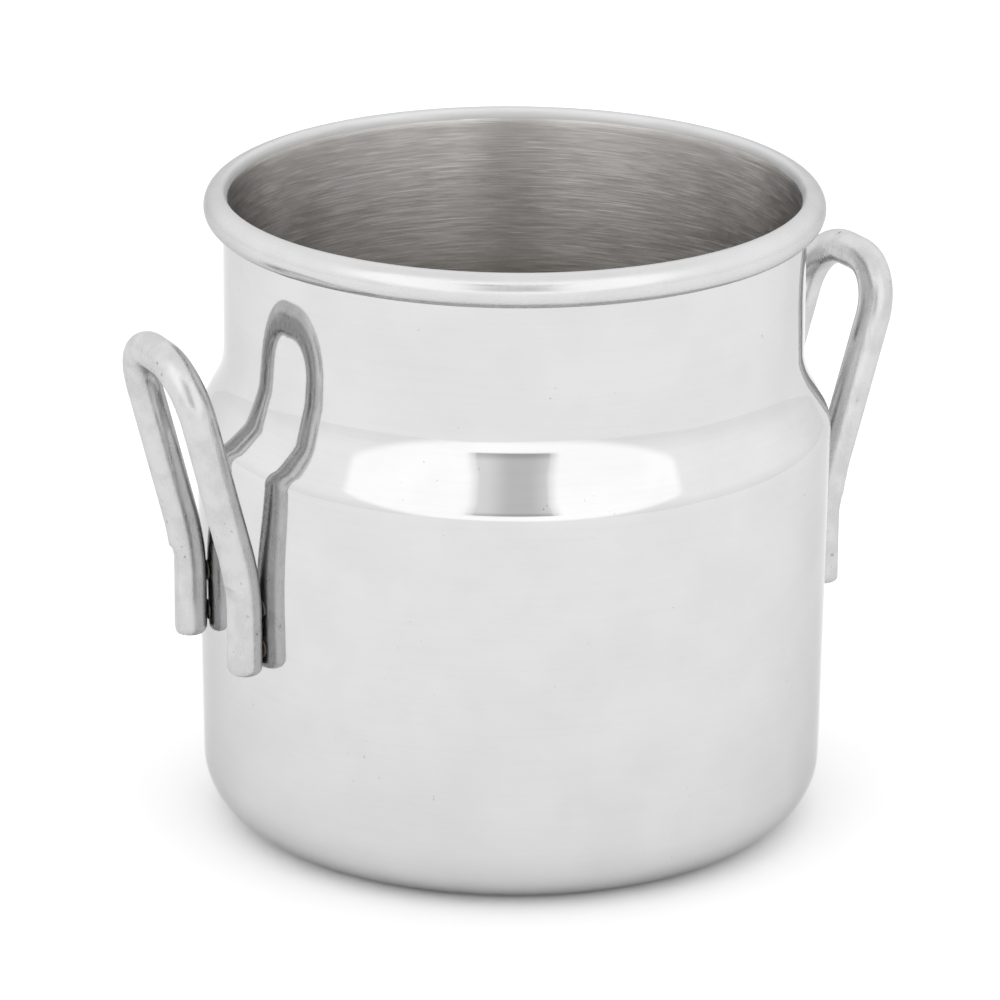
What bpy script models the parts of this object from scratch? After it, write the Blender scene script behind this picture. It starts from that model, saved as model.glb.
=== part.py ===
"""Mini milk pail in stainless steel: a deep-drawn body with a rolled rim and two bent wire handles.

The pail stands on z = 0 with its axis on the world's Z and its handles along X. Lengths are in metres.
"""
import math

import bmesh
import bpy
from mathutils import Matrix

MM = 0.001

# Drawn body: overall size, sheet and the radii that the press tools leave.
HEIGHT = 62.45 * MM
SHEET = 0.5 * MM
FOOT_RADIUS = 30.0 * MM
SHOULDER_RADIUS = 30.55 * MM
NECK_RADIUS = 27.85 * MM
BASE_CORNER = 6.02 * MM
WALL_TOP = 38.8 * MM
SHOULDER_BEND = 4.0 * MM
SHOULDER_HOLLOW = 8.5 * MM
SHOULDER_SLOPE = math.radians(27.5)

# Rolled rim: the sheet turns outwards over a tight crest, then down in a wider curl that stays open below.
RIM_CURL = 1.66 * MM
RIM_CURL_CENTRE = 28.0 * MM
RIM_CURL_END = math.radians(-84.0)

# Wire handles: an upside-down U, bent outwards above its welded feet.
WIRE_RADIUS = 1.69 * MM
HANDLE_HALF_WIDTH = 6.35 * MM
HANDLE_CORNER = 5.2 * MM
LEG_RADIUS = 32.05 * MM
STRAIGHT_FOOT = 5.2 * MM
LEAN_BEND = 27.8 * MM
FOOT_CHAMFER = 0.4 * MM
# Side of the pail, azimuth, height of the feet, lean and length from the feet to the top of the bend.
HANDLES = (
    ("left", math.radians(178.7), 20.2 * MM, math.radians(15.0), 31.3 * MM),
    ("right", math.radians(1.3), 19.4 * MM, math.radians(16.8), 32.2 * MM),
)

# Spot welds: thin round nuggets between the wall and the flat that the weld presses into each leg.
WELD_GAP = 0.5 * MM
WELD_THICKNESS = 0.3 * MM
WELD_RADIUS = 1.0 * MM
WELD_HEIGHTS = (("lower", 2.2 * MM), ("upper", 6.2 * MM))

BODY_STEPS = 60
WIRE_SIDES = 12
WIRE_RING_SPACING = 1.0 * MM
WELD_SIDES = 20
SHARP_ANGLE = math.radians(35.0)


def clear_scene():
    """Remove whatever the file opened with."""
    for thing in list(bpy.data.objects):
        bpy.data.objects.remove(thing, do_unlink=True)


def steel(name, colour, roughness):
    """Stainless steel with its own colour and polish."""
    material = bpy.data.materials.new(name)
    material.use_nodes = True
    shader = material.node_tree.nodes["Principled BSDF"]
    shader.inputs["Base Color"].default_value = (*colour, 1.0)
    shader.inputs["Metallic"].default_value = 1.0
    shader.inputs["Roughness"].default_value = roughness
    return material


def add_object(name, bm, material):
    """Turn a finished bmesh into one named, smooth-shaded object."""
    mesh = bpy.data.meshes.new(name)
    bm.to_mesh(mesh)
    bm.free()
    mesh.shade_smooth()
    mesh.set_sharp_from_angle(angle=SHARP_ANGLE)
    mesh.materials.append(material)
    thing = bpy.data.objects.new(name, mesh)
    bpy.context.scene.collection.objects.link(thing)
    return thing


def arc(centre_radius, centre_height, radius, start, end, steps):
    """Points (radius, height) of an arc of the outline, from one angle to another."""
    points = []
    for step in range(steps + 1):
        angle = start + (end - start) * step / steps
        points.append((centre_radius + radius * math.cos(angle), centre_height + radius * math.sin(angle)))
    return points


def wall_radius(height):
    """Outer radius of the slightly flared wall."""
    share = (height - BASE_CORNER) / (WALL_TOP - BASE_CORNER)
    return FOOT_RADIUS + (SHOULDER_RADIUS - FOOT_RADIUS) * share


def side_outline(inset):
    """The sheet's side from the base centre up to the neck, moved inwards from the outside by inset."""
    bend_centre = SHOULDER_RADIUS - SHOULDER_BEND
    bend_end = bend_centre + SHOULDER_BEND * math.cos(SHOULDER_SLOPE)
    bend_end_height = WALL_TOP + SHOULDER_BEND * math.sin(SHOULDER_SLOPE)
    hollow_start = NECK_RADIUS + SHOULDER_HOLLOW * (1 - math.cos(SHOULDER_SLOPE))
    hollow_start_height = bend_end_height + (bend_end - hollow_start) / math.tan(SHOULDER_SLOPE)
    hollow_height = hollow_start_height + SHOULDER_HOLLOW * math.sin(SHOULDER_SLOPE)
    quarter = math.pi / 2

    points = [(0.0, inset)]
    points += arc(FOOT_RADIUS - BASE_CORNER, BASE_CORNER, BASE_CORNER - inset, -quarter, 0.0, 6)
    points += arc(bend_centre, WALL_TOP, SHOULDER_BEND - inset, 0.0, SHOULDER_SLOPE, 4)
    points += arc(
        NECK_RADIUS + SHOULDER_HOLLOW,
        hollow_height,
        SHOULDER_HOLLOW + inset,
        math.pi + SHOULDER_SLOPE,
        math.pi,
        4,
    )
    return points


def build_body():
    """Spin the sheet's closed outline: up the inside, round the rolled rim and down the outside."""
    crest = RIM_CURL_CENTRE - (NECK_RADIUS - SHEET)
    top = math.pi / 2
    outline = side_outline(SHEET)
    outline += arc(RIM_CURL_CENTRE, HEIGHT - crest, crest, math.pi, top, 4)
    outline += arc(RIM_CURL_CENTRE, HEIGHT - RIM_CURL, RIM_CURL, top, RIM_CURL_END, 10)[1:]
    outline += arc(RIM_CURL_CENTRE, HEIGHT - RIM_CURL, RIM_CURL - SHEET, RIM_CURL_END, top, 8)
    outline += arc(RIM_CURL_CENTRE, HEIGHT - crest, crest - SHEET, top, math.pi, 2)[1:]
    outline += reversed(side_outline(0.0))

    bm = bmesh.new()
    corners = [bm.verts.new((radius, 0.0, height)) for radius, height in outline]
    edges = [bm.edges.new(pair) for pair in zip(corners, corners[1:])]
    bmesh.ops.spin(
        bm,
        geom=corners + edges,
        cent=(0.0, 0.0, 0.0),
        axis=(0.0, 0.0, 1.0),
        angle=2 * math.pi,
        steps=BODY_STEPS,
        use_merge=True,
    )
    bmesh.ops.remove_doubles(bm, verts=bm.verts, dist=0.001 * MM)
    bmesh.ops.recalc_face_normals(bm, faces=bm.faces)
    add_object("pail_body", bm, steel("polished drawn steel", (0.78, 0.77, 0.75), 0.12))


def bend_into_u(point, rise):
    """A point on the straight wire, z along it and x to the outside of the bend, to its place on the U."""
    straight_top = HANDLE_HALF_WIDTH - HANDLE_CORNER
    corner_length = HANDLE_CORNER * math.pi / 2
    side = 1 if point.z >= 0 else -1
    along = abs(point.z)
    if along < straight_top:
        return side * along, rise + point.x
    if along < straight_top + corner_length:
        angle = (along - straight_top) / HANDLE_CORNER
        reach = HANDLE_CORNER + point.x
        across = straight_top + reach * math.sin(angle)
        return side * across, rise - HANDLE_CORNER + reach * math.cos(angle)
    down = along - straight_top - corner_length
    return side * (HANDLE_HALF_WIDTH + point.x), rise - HANDLE_CORNER - down


def lean_outwards(height, outwards, lean):
    """Bend the flat U away from the pail above its straight feet: returns distance and height."""
    bend_length = LEAN_BEND * lean
    above_foot = height - STRAIGHT_FOOT
    if above_foot <= 0:
        return outwards, height
    angle = min(above_foot / LEAN_BEND, lean)
    reach = LEAN_BEND - outwards
    straight = max(above_foot - bend_length, 0.0)
    distance = LEAN_BEND - reach * math.cos(angle) + straight * math.sin(angle)
    return distance, STRAIGHT_FOOT + reach * math.sin(angle) + straight * math.cos(angle)


def build_handle(side_name, azimuth, foot, lean, rise):
    """Bend one straight wire to a U, lean it outwards and press its legs flat against the wall."""
    straight_top = HANDLE_HALF_WIDTH - HANDLE_CORNER
    half_length = straight_top + HANDLE_CORNER * math.pi / 2 + rise - HANDLE_CORNER
    plane_distance = math.sqrt(LEG_RADIUS**2 - HANDLE_HALF_WIDTH**2)

    bm = bmesh.new()
    bmesh.ops.create_cone(
        bm,
        cap_ends=True,
        segments=WIRE_SIDES,
        radius1=WIRE_RADIUS,
        radius2=WIRE_RADIUS,
        depth=2 * half_length,
    )
    long_edges = [edge for edge in bm.edges if edge.calc_length() > half_length]
    rings = round(2 * half_length / WIRE_RING_SPACING)
    bmesh.ops.subdivide_edges(bm, edges=long_edges, cuts=rings, use_grid_fill=True)
    rims = [edge for edge in bm.edges if all(abs(v.co.z) > half_length - 0.01 * MM for v in edge.verts)]
    bmesh.ops.bevel(bm, geom=rims, offset=FOOT_CHAMFER, segments=2, profile=0.5, affect="EDGES", material=-1)

    turn = Matrix.Rotation(azimuth, 3, "Z")
    for vert in bm.verts:
        across, height = bend_into_u(vert.co, rise)
        distance, height = lean_outwards(height, vert.co.y, lean)
        vert.co = (plane_distance + distance, across, foot + height)
        nearest = wall_radius(vert.co.z) + WELD_GAP
        radius = vert.co.xy.length
        if vert.co.z < WALL_TOP and radius < nearest:
            vert.co.x *= nearest / radius
            vert.co.y *= nearest / radius
        vert.co = turn @ vert.co
    add_object(f"{side_name}_handle", bm, steel(f"{side_name} handle wire steel", (0.74, 0.73, 0.71), 0.18))


def build_welds(side_name, azimuth, foot):
    """The four round nuggets that hold one handle, two behind each leg."""
    leg_turn = math.asin(HANDLE_HALF_WIDTH / LEG_RADIUS)
    front = -1 if math.cos(azimuth) > 0 else 1
    for leg_name, leg_side in (("front", front), ("rear", -front)):
        for place, above_foot in WELD_HEIGHTS:
            height = foot + above_foot
            distance = wall_radius(height) + WELD_GAP / 2
            name = f"{side_name}_handle_{leg_name}_{place}_weld"
            bm = bmesh.new()
            bmesh.ops.create_cone(
                bm,
                cap_ends=True,
                segments=WELD_SIDES,
                radius1=WELD_RADIUS,
                radius2=WELD_RADIUS,
                depth=WELD_THICKNESS,
            )
            out_of_wall = Matrix.Rotation(math.pi / 2, 4, "Y")
            place_on_wall = Matrix.Translation((distance, 0.0, height))
            turn = Matrix.Rotation(azimuth + leg_side * leg_turn, 4, "Z")
            bmesh.ops.transform(bm, matrix=turn @ place_on_wall @ out_of_wall, verts=bm.verts)
            add_object(name, bm, steel(name.replace("_", " "), (0.60, 0.58, 0.55), 0.45))


clear_scene()
build_body()
for side, side_azimuth, foot_height, handle_lean, handle_rise in HANDLES:
    build_handle(side, side_azimuth, foot_height, handle_lean, handle_rise)
    build_welds(side, side_azimuth, foot_height)
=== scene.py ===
import math

import bmesh
import bpy
from mathutils import Matrix, Vector


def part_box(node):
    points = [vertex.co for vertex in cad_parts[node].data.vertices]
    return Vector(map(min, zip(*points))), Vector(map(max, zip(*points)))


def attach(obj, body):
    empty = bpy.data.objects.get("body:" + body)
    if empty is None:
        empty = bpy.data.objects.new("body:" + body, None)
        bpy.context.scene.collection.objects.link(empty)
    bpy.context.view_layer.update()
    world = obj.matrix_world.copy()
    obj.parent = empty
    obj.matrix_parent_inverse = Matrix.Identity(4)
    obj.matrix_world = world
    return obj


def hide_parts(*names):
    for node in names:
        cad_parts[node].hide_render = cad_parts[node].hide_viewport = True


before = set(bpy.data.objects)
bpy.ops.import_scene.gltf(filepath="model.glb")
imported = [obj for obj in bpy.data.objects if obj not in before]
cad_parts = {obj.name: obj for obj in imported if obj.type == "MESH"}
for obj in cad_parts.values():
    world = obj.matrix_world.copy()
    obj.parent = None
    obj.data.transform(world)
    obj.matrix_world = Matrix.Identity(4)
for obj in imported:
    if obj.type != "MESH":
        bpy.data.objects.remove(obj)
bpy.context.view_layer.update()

# Camera. A long lens looks down on the pail from the front left, so that the left handle stands clear of
# the body and the right one shows behind the neck. The pail sits a little below the middle of the view.
MM = 0.001
VIEW_AZIMUTH = math.radians(-28.0)
VIEW_HEIGHT = math.radians(19.05)
VIEW_DISTANCE = 662.4 * MM
VIEW_ROLL = math.radians(0.355)
AIM_HEIGHT = 30.0 * MM
AIM_LEFT = 1.24 * MM
AIM_UP = 0.84 * MM
LENS_LENGTH = 246.6
SENSOR_WIDTH = 36.0
NEAREST_SEEN = 0.01
FARTHEST_SEEN = 20.0

camera_data = bpy.data.cameras.new("camera")
camera_data.lens = LENS_LENGTH
camera_data.sensor_width = SENSOR_WIDTH
camera_data.clip_start = NEAREST_SEEN
camera_data.clip_end = FARTHEST_SEEN
camera = bpy.data.objects.new("camera", camera_data)
bpy.context.scene.collection.objects.link(camera)
bpy.context.scene.camera = camera
backwards = Vector((
    math.sin(VIEW_AZIMUTH) * math.cos(VIEW_HEIGHT),
    -math.cos(VIEW_AZIMUTH) * math.cos(VIEW_HEIGHT),
    math.sin(VIEW_HEIGHT),
))
pail_middle = Vector((0.0, 0.0, AIM_HEIGHT))
facing = (-backwards).to_track_quat("-Z", "Y")
aim = pail_middle + facing @ Vector((-AIM_LEFT, AIM_UP, 0.0))
camera.location = pail_middle + backwards * VIEW_DISTANCE
facing = (aim - camera.location).to_track_quat("-Z", "Y")
camera.rotation_mode = "QUATERNION"
camera.rotation_quaternion = facing @ Matrix.Rotation(VIEW_ROLL, 3, "Z").to_quaternion()


# Studio. A white tent with a bright panel on each side of the lens and a narrow grey opening between them,
# which polished steel shows as bands on the shoulder and the rim. Colours are shown without a film curve.
def add_node(tree, kind, settings, output=0):
    """Add one node and return one of its outputs. A setting names an input or a property of the node, and
    its value is a constant, or another node's output to link."""
    node = tree.nodes.new(kind)
    for name, value in settings.items():
        if isinstance(value, bpy.types.NodeSocket):
            tree.links.new(value, node.inputs[name])
        elif isinstance(name, int) or name in node.inputs:
            node.inputs[name].default_value = value
        else:
            setattr(node, name, value)
    return node.outputs[output] if node.outputs else None


def inside_edges(tree, edges):
    """How far a place lies inside all the soft edges, each a value, where it starts and where it is full."""
    share = 1.0
    for value, start, full in edges:
        edge = add_node(tree, "ShaderNodeMapRange", {
            "interpolation_type": "SMOOTHSTEP", "Value": value, "From Min": start, "From Max": full,
        })
        share = add_node(tree, "ShaderNodeMath", {"operation": "MULTIPLY", 0: share, 1: edge})
    return share


FLOOR_GLOW = 1.15
WALL_GLOW = 1.28
CEILING_GLOW = 1.16
PANEL_GLOW = 1.56
OPENING_GLOW = 0.76
FRAME_GLOW = 1.05
SLOT_GLOW = 0.35
SILL_SHADE = 0.66
FRAME_SHARE = 0.6
PANEL_EDGE = math.radians(58.5)
PANEL_LEAN = 0.3
PANEL_FOOT = math.radians(-8.0)
PANEL_FOOT_RISE = math.radians(32.0)
PANEL_ROUNDING = 3.0
OPENING_EDGE = math.radians(14.3)
OPENING_CORE = math.radians(2.9)
OPENING_FOOT = math.radians(8.0)
OPENING_TOP = math.radians(39.0)
FRAME_EDGE = math.radians(18.5)
SILL_HEIGHT = math.radians(11.0)
SLOT_EDGE = math.radians(24.0)
SLOT_RISE = math.radians(45.0)
SLOT_HALF = math.radians(3.5)
TABLE_TO_WALL = (math.radians(-5.7), math.radians(17.2))
WALL_TO_CEILING = (math.radians(40.1), math.radians(63.0))
PANEL_TOP = (math.radians(77.3), math.radians(54.4))
FAINT = math.radians(0.57)
SOFT = math.radians(2.3)
BROAD = math.radians(6.9)

world = bpy.data.worlds.new("white tent")
bpy.context.scene.world = world
world.use_nodes = True
sky = world.node_tree
sky.nodes.clear()
looking = add_node(sky, "ShaderNodeTexCoord", {}, "Generated")
turned = add_node(sky, "ShaderNodeMapping", {"Vector": looking, "Rotation": (0.0, 0.0, -VIEW_AZIMUTH)})
right = add_node(sky, "ShaderNodeSeparateXYZ", {0: turned}, "X")
away = add_node(sky, "ShaderNodeSeparateXYZ", {0: turned}, "Y")
up = add_node(sky, "ShaderNodeSeparateXYZ", {0: turned}, "Z")
towards_lens = add_node(sky, "ShaderNodeMath", {"operation": "MULTIPLY", 0: away, 1: -1.0})
bearing = add_node(sky, "ShaderNodeMath", {"operation": "ARCTAN2", 0: right, 1: towards_lens})
aside = add_node(sky, "ShaderNodeMath", {"operation": "ABSOLUTE", 0: bearing})
rise = add_node(sky, "ShaderNodeMath", {"operation": "ARCSINE", 0: up})

# The tent's wall brightens above the table, and its ceiling is a little dimmer.
above_table = inside_edges(sky, [(rise, *TABLE_TO_WALL)])
ceiling = inside_edges(sky, [(rise, *WALL_TO_CEILING)])
glow = add_node(sky, "ShaderNodeMix", {"Factor": above_table, "A": FLOOR_GLOW, "B": WALL_GLOW})
glow = add_node(sky, "ShaderNodeMix", {"Factor": ceiling, "A": glow, "B": CEILING_GLOW})

# The panels lean outwards, and their lower edge rises in a curve towards the outside.
leaning = add_node(sky, "ShaderNodeMath", {"operation": "MULTIPLY_ADD", 0: rise, 1: -PANEL_LEAN, 2: aside})
outwards = add_node(sky, "ShaderNodeMath", {"operation": "MAXIMUM", 0: leaning, 1: 0.0})
outwards = add_node(sky, "ShaderNodeMath", {"operation": "DIVIDE", 0: outwards, 1: PANEL_EDGE})
outwards = add_node(sky, "ShaderNodeMath", {"operation": "POWER", 0: outwards, 1: PANEL_ROUNDING})
panel_foot = add_node(sky, "ShaderNodeMath", {
    "operation": "MULTIPLY_ADD", 0: outwards, 1: PANEL_FOOT_RISE, 2: PANEL_FOOT,
})
above_foot = add_node(sky, "ShaderNodeMath", {"operation": "SUBTRACT", 0: rise, 1: panel_foot})
panel = inside_edges(sky, [
    (leaning, PANEL_EDGE + SOFT, PANEL_EDGE - SOFT),
    (above_foot, -BROAD, BROAD),
    (rise, *PANEL_TOP),
])
glow = add_node(sky, "ShaderNodeMix", {"Factor": panel, "A": glow, "B": PANEL_GLOW})

# The opening for the lens, darkest a little right of its middle and on its sill, inside a paler frame.
from_core = add_node(sky, "ShaderNodeMath", {"operation": "SUBTRACT", 0: bearing, 1: OPENING_CORE})
from_core = add_node(sky, "ShaderNodeMath", {"operation": "ABSOLUTE", 0: from_core})
paler = inside_edges(sky, [(from_core, OPENING_CORE, OPENING_EDGE + FAINT)])
core_glow = add_node(sky, "ShaderNodeMix", {"Factor": paler, "A": OPENING_GLOW, "B": FRAME_GLOW})
above_sill = inside_edges(sky, [(rise, OPENING_FOOT, OPENING_FOOT + SILL_HEIGHT)])
sill_shade = add_node(sky, "ShaderNodeMix", {"Factor": above_sill, "A": SILL_SHADE, "B": 1.0})
opening_glow = add_node(sky, "ShaderNodeMath", {"operation": "MULTIPLY", 0: core_glow, 1: sill_shade})
opening_wide = inside_edges(sky, [(aside, OPENING_EDGE + FAINT, OPENING_EDGE - FAINT)])
frame_wide = inside_edges(sky, [(aside, FRAME_EDGE, OPENING_EDGE)])
frame_wide = add_node(sky, "ShaderNodeMath", {"operation": "MULTIPLY", 0: frame_wide, 1: FRAME_SHARE})
opening_wide = add_node(sky, "ShaderNodeMath", {"operation": "MAXIMUM", 0: opening_wide, 1: frame_wide})
opening_high = inside_edges(sky, [
    (rise, OPENING_FOOT - 2 * FAINT, OPENING_FOOT + 2 * FAINT),
    (rise, OPENING_TOP + 2 * FAINT, OPENING_TOP - 2 * FAINT),
])
opening = add_node(sky, "ShaderNodeMath", {"operation": "MULTIPLY", 0: opening_wide, 1: opening_high})
glow = add_node(sky, "ShaderNodeMix", {"Factor": opening, "A": glow, "B": opening_glow})

# A narrow slot above the opening, where the tent's front sheet meets its ceiling.
from_slot = add_node(sky, "ShaderNodeMath", {"operation": "SUBTRACT", 0: rise, 1: SLOT_RISE})
from_slot = add_node(sky, "ShaderNodeMath", {"operation": "ABSOLUTE", 0: from_slot})
slot = inside_edges(sky, [
    (from_slot, SLOT_HALF * 1.3, SLOT_HALF * 0.6),
    (aside, SLOT_EDGE, SLOT_EDGE * 0.6),
])
glow = add_node(sky, "ShaderNodeMix", {"Factor": slot, "A": glow, "B": SLOT_GLOW})
tent = add_node(sky, "ShaderNodeBackground", {"Color": (1.0, 1.0, 1.0, 1.0), "Strength": glow})
add_node(sky, "ShaderNodeOutputWorld", {"Surface": tent})
bpy.context.scene.view_settings.view_transform = "Standard"

# Floor. One plain sheet of matt white card, laid flat under the pail, and so wide that its edges stay out
# of view on every side.
FLOOR_HALF = 420.0 * MM


def linear(hex_colour):
    """An sRGB hex colour as the linear colour that a shader takes."""
    values = []
    for start in (0, 2, 4):
        value = int(hex_colour[start:start + 2], 16) / 255.0
        values.append(value / 12.92 if value <= 0.04045 else ((value + 0.055) / 1.055) ** 2.4)
    return (*values, 1.0)


def new_material(name):
    """A material with only its shader and output, its node tree, and the shader's inputs."""
    material = bpy.data.materials.new(name)
    material.use_nodes = True
    tree = material.node_tree
    return material, tree, tree.nodes["Principled BSDF"].inputs


def place_object(name, bm, *materials):
    """Give a finished mesh its object at the origin, smooth shading and materials."""
    mesh = bpy.data.meshes.new(name)
    bm.to_mesh(mesh)
    bm.free()
    mesh.shade_smooth()
    for material in materials:
        mesh.materials.append(material)
    thing = bpy.data.objects.new(name, mesh)
    bpy.context.scene.collection.objects.link(thing)
    return thing


# White card, uncoated: a flat, even white with no shine.
card, tree, shader = new_material("matt white card")
shader["Base Color"].default_value = linear("fafafa")
shader["Roughness"].default_value = 0.9
shader["Specular IOR Level"].default_value = 0.1
bm = bmesh.new()
bmesh.ops.create_grid(bm, x_segments=1, y_segments=1, size=FLOOR_HALF)
place_object("floor", bm, card)

# Pail body. One disc of thin stainless sheet, deep drawn to a cup with a flat base, necked in above a
# shoulder, and rolled outwards at the mouth to a curl that stays open underneath. It is mirror polished
# outside, buffed over the rim, and left brushed inside.
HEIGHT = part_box("pail_body")[1].z
SHEET = 0.5 * MM
FOOT_RADIUS = 30.0 * MM
SHOULDER_RADIUS = 30.55 * MM
NECK_RADIUS = 27.85 * MM
BASE_CORNER = 6.02 * MM
WALL_TOP = 38.8 * MM
SHOULDER_BEND = 4.0 * MM
SHOULDER_HOLLOW = 8.5 * MM
SHOULDER_SLOPE = math.radians(27.5)
RIM_CURL = 1.66 * MM
RIM_CURL_CENTRE = 28.0 * MM
RIM_CURL_END = math.radians(-84.0)
RIM_CREST = RIM_CURL_CENTRE - (NECK_RADIUS - SHEET)
BUFFED_DEPTH = 1.1 * MM
CREASE_ANGLE = math.radians(40.0)
BODY_STEPS = 288
MERGE_DISTANCE = 0.001 * MM
TURNED_INWARDS = -0.02
TURNED_UPWARDS = 0.5
RIGHT_ANGLE = math.pi / 2


def arc(centre_radius, centre_height, radius, start, end, steps):
    """Outline points (radius, height) along an arc from one angle to another."""
    points = []
    for step in range(steps + 1):
        angle = start + (end - start) * step / steps
        points.append((centre_radius + radius * math.cos(angle), centre_height + radius * math.sin(angle)))
    return points


def run(start, end, steps):
    """Outline points strictly between two ends of a straight stretch."""
    first, last = Vector(start), Vector(end)
    return [tuple(first.lerp(last, step / steps)) for step in range(1, steps)]


def side_outline(inset):
    """The sheet's side from the base centre up to the neck's top, moved in from the outside by inset."""
    bend_centre = SHOULDER_RADIUS - SHOULDER_BEND
    bend_end = bend_centre + SHOULDER_BEND * math.cos(SHOULDER_SLOPE)
    bend_end_height = WALL_TOP + SHOULDER_BEND * math.sin(SHOULDER_SLOPE)
    hollow_start = NECK_RADIUS + SHOULDER_HOLLOW * (1 - math.cos(SHOULDER_SLOPE))
    hollow_start_height = bend_end_height + (bend_end - hollow_start) / math.tan(SHOULDER_SLOPE)
    hollow_height = hollow_start_height + SHOULDER_HOLLOW * math.sin(SHOULDER_SLOPE)

    corner = arc(FOOT_RADIUS - BASE_CORNER, BASE_CORNER, BASE_CORNER - inset, -RIGHT_ANGLE, 0.0, steps=20)
    bend = arc(bend_centre, WALL_TOP, SHOULDER_BEND - inset, 0.0, SHOULDER_SLOPE, steps=12)
    hollow = arc(
        NECK_RADIUS + SHOULDER_HOLLOW, hollow_height, SHOULDER_HOLLOW + inset,
        math.pi + SHOULDER_SLOPE, math.pi, steps=14,
    )
    base = [(0.0, inset)] + run((0.0, inset), corner[0], steps=12)
    wall = run(corner[-1], bend[0], steps=20)
    cone = run(bend[-1], hollow[0], steps=6)
    neck = run(hollow[-1], (NECK_RADIUS - inset, HEIGHT - RIM_CURL), steps=10)
    return base + corner + wall + bend + cone + hollow + neck


def spin_outline(points, steps):
    """Turn an outline about the pail's axis to a closed skin whose faces point outwards."""
    bm = bmesh.new()
    corners = [bm.verts.new((radius, 0.0, height)) for radius, height in points]
    edges = [bm.edges.new(pair) for pair in zip(corners, corners[1:])]
    bmesh.ops.spin(
        bm, geom=corners + edges, cent=(0.0, 0.0, 0.0), axis=(0.0, 0.0, 1.0),
        angle=2 * math.pi, steps=steps, use_merge=True,
    )
    bmesh.ops.remove_doubles(bm, verts=bm.verts, dist=MERGE_DISTANCE)
    bmesh.ops.recalc_face_normals(bm, faces=bm.faces)
    return bm


def turning_marks(tree, spacing, length):
    """Where to read a noise so that its marks run round the pail's axis, as a turning pad or wheel leaves
    them: one spacing apart over the sheet, whether wall or base, and about one length long."""
    coords = add_node(tree, "ShaderNodeTexCoord", {}, "Object")
    flat = add_node(tree, "ShaderNodeVectorMath", {"operation": "MULTIPLY", 0: coords, 1: (1.0, 1.0, 0.0)})
    radius = add_node(tree, "ShaderNodeVectorMath", {"operation": "LENGTH", 0: flat}, "Value")
    height = add_node(tree, "ShaderNodeSeparateXYZ", {0: coords}, "Z")
    over_sheet = add_node(tree, "ShaderNodeMath", {"operation": "ADD", 0: radius, 1: height})
    across = add_node(tree, "ShaderNodeMath", {"operation": "MULTIPLY", 0: over_sheet, 1: 1 / spacing})
    upwards = add_node(tree, "ShaderNodeCombineXYZ", {"Z": across})
    return add_node(tree, "ShaderNodeVectorMath", {
        "operation": "MULTIPLY_ADD", 0: coords, 1: (1 / length, 1 / length, 0.0), 2: upwards,
    })


# Stainless steel, mirror polished on a wheel: clear reflections with faint lines round the pail, a few small
# handling marks, smudges, and a slight waviness left by the drawing. The lines are drawn coarser than the
# real ones, which are too fine to show.
LINE_SPACING = 0.3 * MM
LINE_LENGTH = 12.0 * MM
WAVE_WIDTH = 14.0 * MM
SMUDGE_WIDTH = 7.0 * MM
SPECK_WIDTH = 0.55 * MM
HANDLED_WIDTH = 8.0 * MM
polished_steel, tree, shader = new_material("mirror polished stainless steel")
coords = add_node(tree, "ShaderNodeTexCoord", {}, "Object")
lines = add_node(tree, "ShaderNodeTexNoise", {
    "Vector": turning_marks(tree, LINE_SPACING, LINE_LENGTH), "Scale": 1.0, "Detail": 4.0, "Roughness": 0.65,
})
waves = add_node(tree, "ShaderNodeTexNoise", {"Vector": coords, "Scale": 1 / WAVE_WIDTH, "Detail": 1.0})
smudges = add_node(tree, "ShaderNodeTexNoise", {"Vector": coords, "Scale": 1 / SMUDGE_WIDTH, "Detail": 5.0})
specks = add_node(tree, "ShaderNodeTexNoise", {"Vector": coords, "Scale": 1 / SPECK_WIDTH, "Detail": 2.0})
handled = add_node(tree, "ShaderNodeTexNoise", {"Vector": coords, "Scale": 1 / HANDLED_WIDTH, "Detail": 1.0})
smudged = inside_edges(tree, [(smudges, 0.3, 0.7)])
clean = add_node(tree, "ShaderNodeMix", {
    "data_type": "RGBA", "Factor": smudged, "A": linear("d1d1d1"), "B": linear("cdcdcd"),
}, "Result")
lined = add_node(tree, "ShaderNodeMix", {
    "data_type": "RGBA", "blend_type": "MULTIPLY", "Factor": inside_edges(tree, [(lines, 0.42, 0.7)]),
    "A": clean, "B": linear("fdfdfd"),
}, "Result")
worn = add_node(tree, "ShaderNodeMix", {
    "data_type": "RGBA", "Factor": inside_edges(tree, [(specks, 0.73, 0.8), (handled, 0.52, 0.62)]),
    "A": lined, "B": linear("a09e9c"),
}, "Result")
rough = add_node(tree, "ShaderNodeMapRange", {
    "interpolation_type": "SMOOTHSTEP", "Value": smudges, "From Min": 0.35, "From Max": 0.75,
    "To Min": 0.045, "To Max": 0.075,
})
line_rough = add_node(tree, "ShaderNodeMapRange", {
    "interpolation_type": "SMOOTHSTEP", "Value": lines, "From Min": 0.35, "From Max": 0.7,
    "To Min": 0.0, "To Max": 0.012,
})
rough = add_node(tree, "ShaderNodeMath", {"operation": "ADD", 0: rough, 1: line_rough})
wavy = add_node(tree, "ShaderNodeBump", {"Height": waves, "Strength": 0.3, "Distance": 0.02 * MM})
wavy = add_node(tree, "ShaderNodeBump", {
    "Height": lines, "Strength": 0.04, "Distance": 0.004 * MM, "Normal": wavy,
})
shader["Metallic"].default_value = 1.0
shader["Specular Tint"].default_value = (0.77, 0.77, 0.77, 1.0)
tree.links.new(worn, shader["Base Color"])
tree.links.new(rough, shader["Roughness"])
tree.links.new(wavy, shader["Normal"])

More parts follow.
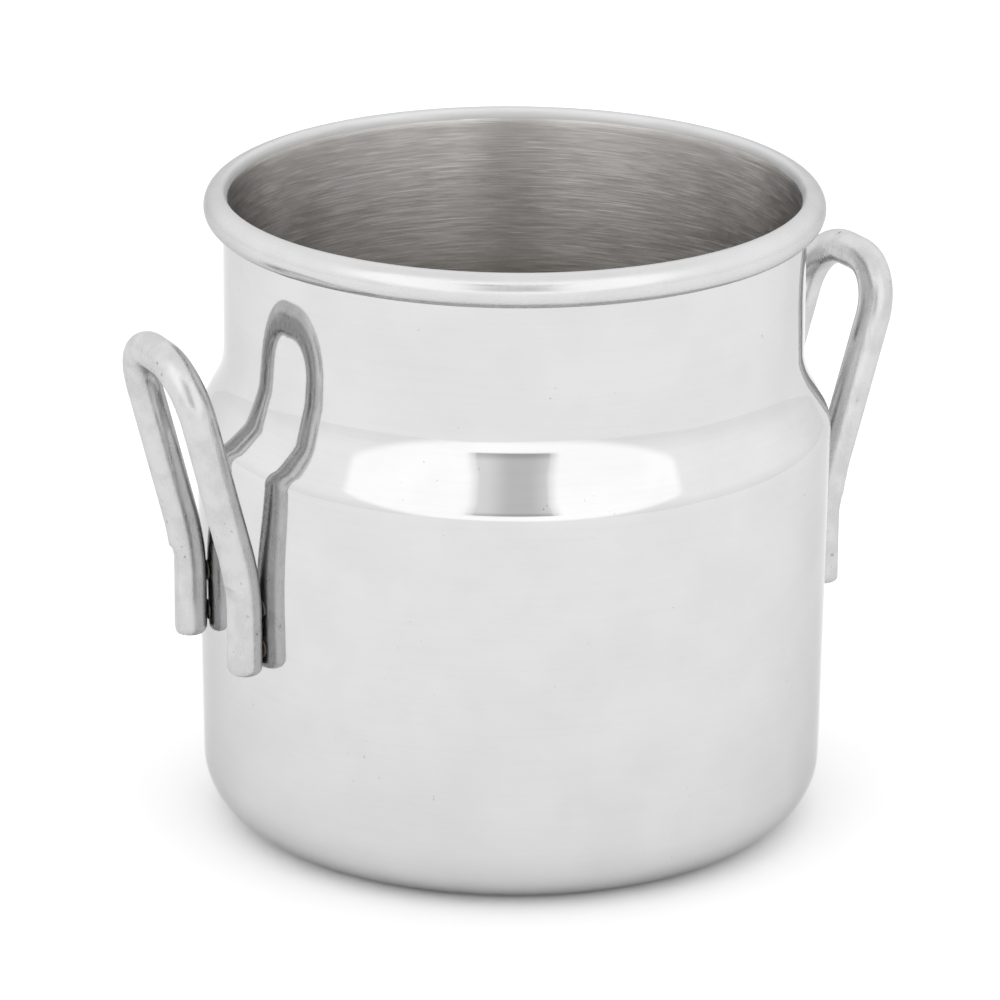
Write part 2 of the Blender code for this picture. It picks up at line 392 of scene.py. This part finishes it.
# Stainless steel, buffed over the rolled rim after the curl is closed: the same metal with a softer shine,
# because the buff only brushes the curl, so that bright panels melt into it.
BUFF_SPACING = 0.3 * MM
BUFF_LENGTH = 5.0 * MM
CLOUD_WIDTH = 4.0 * MM
buffed_steel, tree, shader = new_material("buffed stainless steel rim")
coords = add_node(tree, "ShaderNodeTexCoord", {}, "Object")
buff = add_node(tree, "ShaderNodeTexNoise", {
    "Vector": turning_marks(tree, BUFF_SPACING, BUFF_LENGTH), "Scale": 1.0, "Detail": 3.0, "Roughness": 0.6,
})
cloud = add_node(tree, "ShaderNodeTexNoise", {"Vector": coords, "Scale": 1 / CLOUD_WIDTH, "Detail": 3.0})
flat = add_node(tree, "ShaderNodeVectorMath", {"operation": "MULTIPLY", 0: coords, 1: (1.0, 1.0, 0.0)})
radius = add_node(tree, "ShaderNodeVectorMath", {"operation": "LENGTH", 0: flat}, "Value")
rough = 0.0
for value, start, full, least, most in (
    (buff, 0.3, 0.7, 0.19, 0.28),
    (cloud, 0.35, 0.7, 0.0, 0.06),
    (radius, NECK_RADIUS - 0.8 * SHEET, RIM_CURL_CENTRE + 0.2 * SHEET, 0.3, 0.0),
):
    part = add_node(tree, "ShaderNodeMapRange", {
        "interpolation_type": "SMOOTHSTEP", "Value": value, "From Min": start, "From Max": full,
        "To Min": least, "To Max": most,
    })
    rough = add_node(tree, "ShaderNodeMath", {"operation": "ADD", 0: rough, 1: part})
tint = add_node(tree, "ShaderNodeMix", {
    "data_type": "RGBA", "Factor": cloud, "A": linear("c6c6c6"), "B": linear("d2d2d2"),
}, "Result")
bump = add_node(tree, "ShaderNodeBump", {"Height": buff, "Strength": 0.2, "Distance": 0.01 * MM})
shader["Metallic"].default_value = 1.0
shader["Specular Tint"].default_value = (0.62, 0.62, 0.62, 1.0)
tree.links.new(tint, shader["Base Color"])
tree.links.new(rough, shader["Roughness"])
tree.links.new(bump, shader["Normal"])

# Stainless steel, brushed inside with a pad turning in the cup: the lines stretch each reflection up and
# down the wall, which gives upright dark and bright bands. They are drawn coarser than the real scratches.
BRUSH_SPACING = 0.15 * MM
BRUSH_LENGTH = 4.0 * MM
GLINT_SPACING = 0.13 * MM
GLINT_LENGTH = 6.0 * MM
brushed_steel, tree, shader = new_material("brushed stainless steel inside")
coords = add_node(tree, "ShaderNodeTexCoord", {}, "Object")
brush = add_node(tree, "ShaderNodeTexNoise", {
    "Vector": turning_marks(tree, BRUSH_SPACING, BRUSH_LENGTH), "Scale": 1.0, "Detail": 5.0, "Roughness": 0.7,
})
painted_glints = add_node(tree, "ShaderNodeTexNoise", {
    "Vector": turning_marks(tree, GLINT_SPACING, GLINT_LENGTH), "Scale": 1.0, "Detail": 1.0,
})
height = add_node(tree, "ShaderNodeSeparateXYZ", {0: coords}, "Z")
brushed = add_node(tree, "ShaderNodeMix", {
    "data_type": "RGBA", "Factor": inside_edges(tree, [(brush, 0.35, 0.7)]),
    "A": linear("dcd9d6"), "B": linear("f2efec"),
}, "Result")
# Painted highlights: sparse short streaks along the brush lines are painted white, standing in for scratches
# that catch the light.
painted_glint_colour = add_node(tree, "ShaderNodeMix", {
    "data_type": "RGBA", "Factor": inside_edges(tree, [(painted_glints, 0.63, 0.72)]),
    "A": brushed, "B": linear("ffffff"),
}, "Result")
# Painted shade: the inside's colour is darkened from just below the rim down to the shoulder and below,
# standing in for the shade deep in the cup.
painted_depth_shade = add_node(tree, "ShaderNodeMix", {
    "data_type": "RGBA", "blend_type": "MULTIPLY",
    "Factor": inside_edges(tree, [(height, HEIGHT - 1.5 * MM, WALL_TOP + 1.2 * MM)]),
    "A": painted_glint_colour, "B": linear("cac8c6"),
}, "Result")
rough = add_node(tree, "ShaderNodeMapRange", {
    "interpolation_type": "SMOOTHSTEP", "Value": brush, "From Min": 0.3, "From Max": 0.75,
    "To Min": 0.28, "To Max": 0.385,
})
bump = add_node(tree, "ShaderNodeBump", {"Height": brush, "Strength": 0.22, "Distance": 0.01 * MM})
grain = add_node(tree, "ShaderNodeTangent", {"direction_type": "RADIAL", "axis": "Z"})
shader["Metallic"].default_value = 1.0
shader["Anisotropic"].default_value = 0.94
shader["Anisotropic Rotation"].default_value = 0.25
shader["Specular Tint"].default_value = (0.28, 0.28, 0.28, 1.0)
tree.links.new(painted_depth_shade, shader["Base Color"])
tree.links.new(rough, shader["Roughness"])
tree.links.new(bump, shader["Normal"])
tree.links.new(grain, shader["Tangent"])

rim_height = HEIGHT - RIM_CURL
crest_height = HEIGHT - RIM_CREST
crest = arc(RIM_CURL_CENTRE, 0.0, RIM_CREST, math.pi, RIGHT_ANGLE, steps=12)
outline = side_outline(SHEET)
outline += [(radius, rim_height + height * RIM_CURL / RIM_CREST) for radius, height in crest]
outline += arc(RIM_CURL_CENTRE, rim_height, RIM_CURL, RIGHT_ANGLE, RIM_CURL_END, steps=30)[1:]
outline += arc(RIM_CURL_CENTRE, rim_height, RIM_CURL - SHEET, RIM_CURL_END, RIGHT_ANGLE, steps=20)
outline += arc(RIM_CURL_CENTRE, crest_height, RIM_CREST - SHEET, RIGHT_ANGLE, math.pi, steps=4)[1:]
outline += reversed(side_outline(0.0))
bm = spin_outline(outline, BODY_STEPS)

# The rim is buffed, the inside and the top of the base are brushed, and the rest keeps its polish.
for face in bm.faces:
    centre = face.calc_center_median()
    radius = centre.xy.length
    faces_axis = face.normal.xy.dot(centre.xy) < TURNED_INWARDS * radius
    base_top = face.normal.z > TURNED_UPWARDS and centre.z < BASE_CORNER
    on_curl = centre.z > HEIGHT - 2 * RIM_CURL and radius > NECK_RADIUS
    if on_curl or centre.z > HEIGHT - BUFFED_DEPTH:
        face.material_index = 2
    elif faces_axis or base_top:
        face.material_index = 1
body = place_object("drawn_pail_body", bm, polished_steel, brushed_steel, buffed_steel)
body.data.set_sharp_from_angle(angle=CREASE_ANGLE)
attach(body, "root")
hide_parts("pail_body")

# Wire handles. Each is a piece of round stainless wire, bent to an upside-down U round two pegs, leaned
# outwards above its feet, cut square, and pressed flat where the welding tongs squeezed it to the wall.
WIRE_RADIUS = 1.69 * MM
HANDLE_HALF_WIDTH = 6.35 * MM
HANDLE_CORNER = 5.2 * MM
LEG_RADIUS = 32.05 * MM
STRAIGHT_FOOT = 5.2 * MM
LEAN_BEND = 27.8 * MM
FOOT_CHAMFER = 0.75 * MM
WALL_CLEARANCE = 0.04 * MM
WALL_SOFTNESS = 0.08 * MM
PRESSED_BACK = 0.38 * MM
PRESSED_LENGTH = 9.2 * MM
PRESSED_FADE = 1.5 * MM
PRESSED_SOFTNESS = 0.12 * MM
FOOT_CREASE_ANGLE = math.radians(50.0)
WIRE_SIDES = 48
RING_SPACING = 0.35 * MM
STRAIGHT_TOP = HANDLE_HALF_WIDTH - HANDLE_CORNER
CORNER_LENGTH = HANDLE_CORNER * RIGHT_ANGLE
HANDLES = (
    ("left", math.radians(178.7), math.radians(15.0), 31.3 * MM),
    ("right", math.radians(1.3), math.radians(16.8), 32.2 * MM),
)


def wall_radius(height):
    """Outer radius of the slightly flared wall."""
    share = (height - BASE_CORNER) / (WALL_TOP - BASE_CORNER)
    return FOOT_RADIUS + (SHOULDER_RADIUS - FOOT_RADIUS) * share


def bend_into_u(point, rise):
    """A point on the straight wire, z along it and x to the outside of the bend, to its place on the U."""
    side = 1 if point.z >= 0 else -1
    along = abs(point.z)
    if along < STRAIGHT_TOP:
        return side * along, rise + point.x
    if along < STRAIGHT_TOP + CORNER_LENGTH:
        angle = (along - STRAIGHT_TOP) / HANDLE_CORNER
        reach = HANDLE_CORNER + point.x
        return side * (STRAIGHT_TOP + reach * math.sin(angle)), rise - HANDLE_CORNER + reach * math.cos(angle)
    down = along - STRAIGHT_TOP - CORNER_LENGTH
    return side * (HANDLE_HALF_WIDTH + point.x), rise - HANDLE_CORNER - down


def lean_outwards(height, outwards, lean):
    """Bend the flat U away from the pail above its straight feet: returns distance and height."""
    above_foot = height - STRAIGHT_FOOT
    if above_foot <= 0:
        return outwards, height
    angle = min(above_foot / LEAN_BEND, lean)
    reach = LEAN_BEND - outwards
    straight = max(above_foot - LEAN_BEND * lean, 0.0)
    distance = LEAN_BEND - reach * math.cos(angle) + straight * math.sin(angle)
    return distance, STRAIGHT_FOOT + reach * math.sin(angle) + straight * math.cos(angle)


def soft_limit(value, limit, softness):
    """The larger of value and limit, rounded over where they meet."""
    gap = value - limit
    return (value + limit + math.sqrt(gap * gap + softness * softness)) / 2


# Stainless wire, polished on a soft wheel after bending: clear but softer reflections than the pail, fine
# lines along the wire, small dents from the bending pegs and a few pits.
WIRE_LINE_SPACING = 0.4 * MM
WIRE_LINE_LENGTH = 5.0 * MM
DENT_WIDTH = 2.6 * MM
PIT_WIDTH = 0.7 * MM
RUBBED_WIDTH = 6.0 * MM
polished_wire, tree, shader = new_material("soft polished stainless wire")
coords = add_node(tree, "ShaderNodeTexCoord", {}, "Object")
stretched = add_node(tree, "ShaderNodeMapping", {
    "Vector": coords, "Scale": (1 / WIRE_LINE_SPACING, 1 / WIRE_LINE_SPACING, 1 / WIRE_LINE_LENGTH),
})
lines = add_node(tree, "ShaderNodeTexNoise", {"Vector": stretched, "Scale": 1.0, "Detail": 3.0})
dents = add_node(tree, "ShaderNodeTexNoise", {"Vector": coords, "Scale": 1 / DENT_WIDTH, "Detail": 3.0})
pits = add_node(tree, "ShaderNodeTexNoise", {"Vector": coords, "Scale": 1 / PIT_WIDTH, "Detail": 2.0})
rubbed = add_node(tree, "ShaderNodeTexNoise", {"Vector": coords, "Scale": 1 / RUBBED_WIDTH, "Detail": 1.0})
clean = add_node(tree, "ShaderNodeMix", {
    "data_type": "RGBA", "Factor": inside_edges(tree, [(dents, 0.35, 0.65)]),
    "A": linear("bfbfbf"), "B": linear("cacaca"),
}, "Result")
pitted = add_node(tree, "ShaderNodeMix", {
    "data_type": "RGBA", "Factor": inside_edges(tree, [(pits, 0.68, 0.76), (rubbed, 0.45, 0.6)]),
    "A": clean, "B": linear("8f8b87"),
}, "Result")
rough = 0.0
for value, start, full, least, most in ((lines, 0.3, 0.7, 0.24, 0.32), (dents, 0.4, 0.7, 0.0, 0.04)):
    part = add_node(tree, "ShaderNodeMapRange", {
        "interpolation_type": "SMOOTHSTEP", "Value": value, "From Min": start, "From Max": full,
        "To Min": least, "To Max": most,
    })
    rough = add_node(tree, "ShaderNodeMath", {"operation": "ADD", 0: rough, 1: part})
bump = add_node(tree, "ShaderNodeBump", {"Height": dents, "Strength": 0.3, "Distance": 0.1 * MM})
bump = add_node(tree, "ShaderNodeBump", {
    "Height": pits, "Strength": 0.3, "Distance": 0.03 * MM, "Normal": bump,
})
bump = add_node(tree, "ShaderNodeBump", {
    "Height": lines, "Strength": 0.15, "Distance": 0.01 * MM, "Normal": bump,
})
shader["Metallic"].default_value = 1.0
shader["Specular Tint"].default_value = (0.78, 0.78, 0.78, 1.0)
tree.links.new(pitted, shader["Base Color"])
tree.links.new(rough, shader["Roughness"])
tree.links.new(bump, shader["Normal"])

for side, azimuth, lean, rise in HANDLES:
    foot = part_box(f"{side}_handle")[0].z
    half_length = STRAIGHT_TOP + CORNER_LENGTH + rise - HANDLE_CORNER
    plane_distance = math.sqrt(LEG_RADIUS**2 - HANDLE_HALF_WIDTH**2)
    bm = bmesh.new()
    bmesh.ops.create_cone(
        bm, cap_ends=True, segments=WIRE_SIDES,
        radius1=WIRE_RADIUS, radius2=WIRE_RADIUS, depth=2 * half_length,
    )
    rims = [edge for edge in bm.edges if edge.calc_length() < WIRE_RADIUS]
    bmesh.ops.bevel(bm, geom=rims, offset=FOOT_CHAMFER, segments=5, profile=0.5, affect="EDGES", material=-1)
    long_edges = [edge for edge in bm.edges if edge.calc_length() > half_length]
    bmesh.ops.subdivide_edges(
        bm, edges=long_edges, cuts=round(2 * half_length / RING_SPACING), use_grid_fill=True,
    )
    round_pail = Matrix.Rotation(azimuth, 3, "Z")
    for vert in bm.verts:
        across, height = bend_into_u(vert.co, rise)
        distance, up_leg = lean_outwards(height, vert.co.y, lean)
        spot = Vector((plane_distance + distance, across, foot + up_leg))
        radius = spot.xy.length
        wanted = radius
        if spot.z < WALL_TOP:
            wanted = soft_limit(wanted, wall_radius(spot.z) + WALL_CLEARANCE, WALL_SOFTNESS)
            pressed = min(max((PRESSED_LENGTH - height) / PRESSED_FADE, 0.0), 1.0)
            if pressed > 0:
                outer = LEG_RADIUS + WIRE_RADIUS - PRESSED_BACK * pressed
                wanted = -soft_limit(-wanted, -outer, PRESSED_SOFTNESS)
        spot.xy *= wanted / radius
        vert.co = round_pail @ spot
    handle = place_object(f"{side}_wire_handle", bm, polished_wire)
    handle.data.set_sharp_from_angle(angle=FOOT_CREASE_ANGLE)
    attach(handle, "root")
    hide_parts(f"{side}_handle")

# Spot welds. Two small nuggets hold each leg. Each is steel of the wire and of the wall, melted together
# between the welding tongs and squeezed out to a thin lens.
WELD_RADIUS = 1.0 * MM
WELD_FULLNESS = 0.12 * MM
GRAIN_WIDTH = 0.4 * MM

# Weld steel, tinted by its own heat: dull, grainy and grey-brown.
heat_steel, tree, shader = new_material("heat tinted weld steel")
coords = add_node(tree, "ShaderNodeTexCoord", {}, "Object")
grain = add_node(tree, "ShaderNodeTexNoise", {"Vector": coords, "Scale": 1 / GRAIN_WIDTH, "Detail": 3.0})
tint = add_node(tree, "ShaderNodeMix", {
    "data_type": "RGBA", "Factor": grain, "A": linear("5e5852"), "B": linear("7d7771"),
}, "Result")
rough = add_node(tree, "ShaderNodeMapRange", {
    "interpolation_type": "SMOOTHSTEP", "Value": grain, "From Min": 0.3, "From Max": 0.7,
    "To Min": 0.35, "To Max": 0.55,
})
bump = add_node(tree, "ShaderNodeBump", {"Height": grain, "Strength": 0.6, "Distance": 0.05 * MM})
shader["Metallic"].default_value = 1.0
tree.links.new(tint, shader["Base Color"])
tree.links.new(rough, shader["Roughness"])
tree.links.new(bump, shader["Normal"])

for side in ("left", "right"):
    for leg in ("front", "rear"):
        for end in ("lower", "upper"):
            name = f"{side}_handle_{leg}_{end}_weld"
            weld_low, weld_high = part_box(name)
            centre = (weld_low + weld_high) / 2
            round_pail = Matrix.Rotation(math.atan2(centre.y, centre.x), 4, "Z")
            distance = wall_radius(centre.z) + WALL_CLEARANCE / 2
            on_wall = Matrix.Translation((distance, 0.0, centre.z))
            out_of_wall = Matrix.Rotation(RIGHT_ANGLE, 4, "Y")
            bm = bmesh.new()
            bmesh.ops.create_uvsphere(bm, u_segments=32, v_segments=12, radius=1.0)
            bmesh.ops.scale(bm, vec=(WELD_RADIUS, WELD_RADIUS, WELD_FULLNESS), verts=bm.verts)
            bmesh.ops.transform(bm, matrix=round_pail @ on_wall @ out_of_wall, verts=bm.verts)
            weld = place_object(f"{name}_nugget", bm, heat_steel)
            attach(weld, "root")
            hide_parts(name)
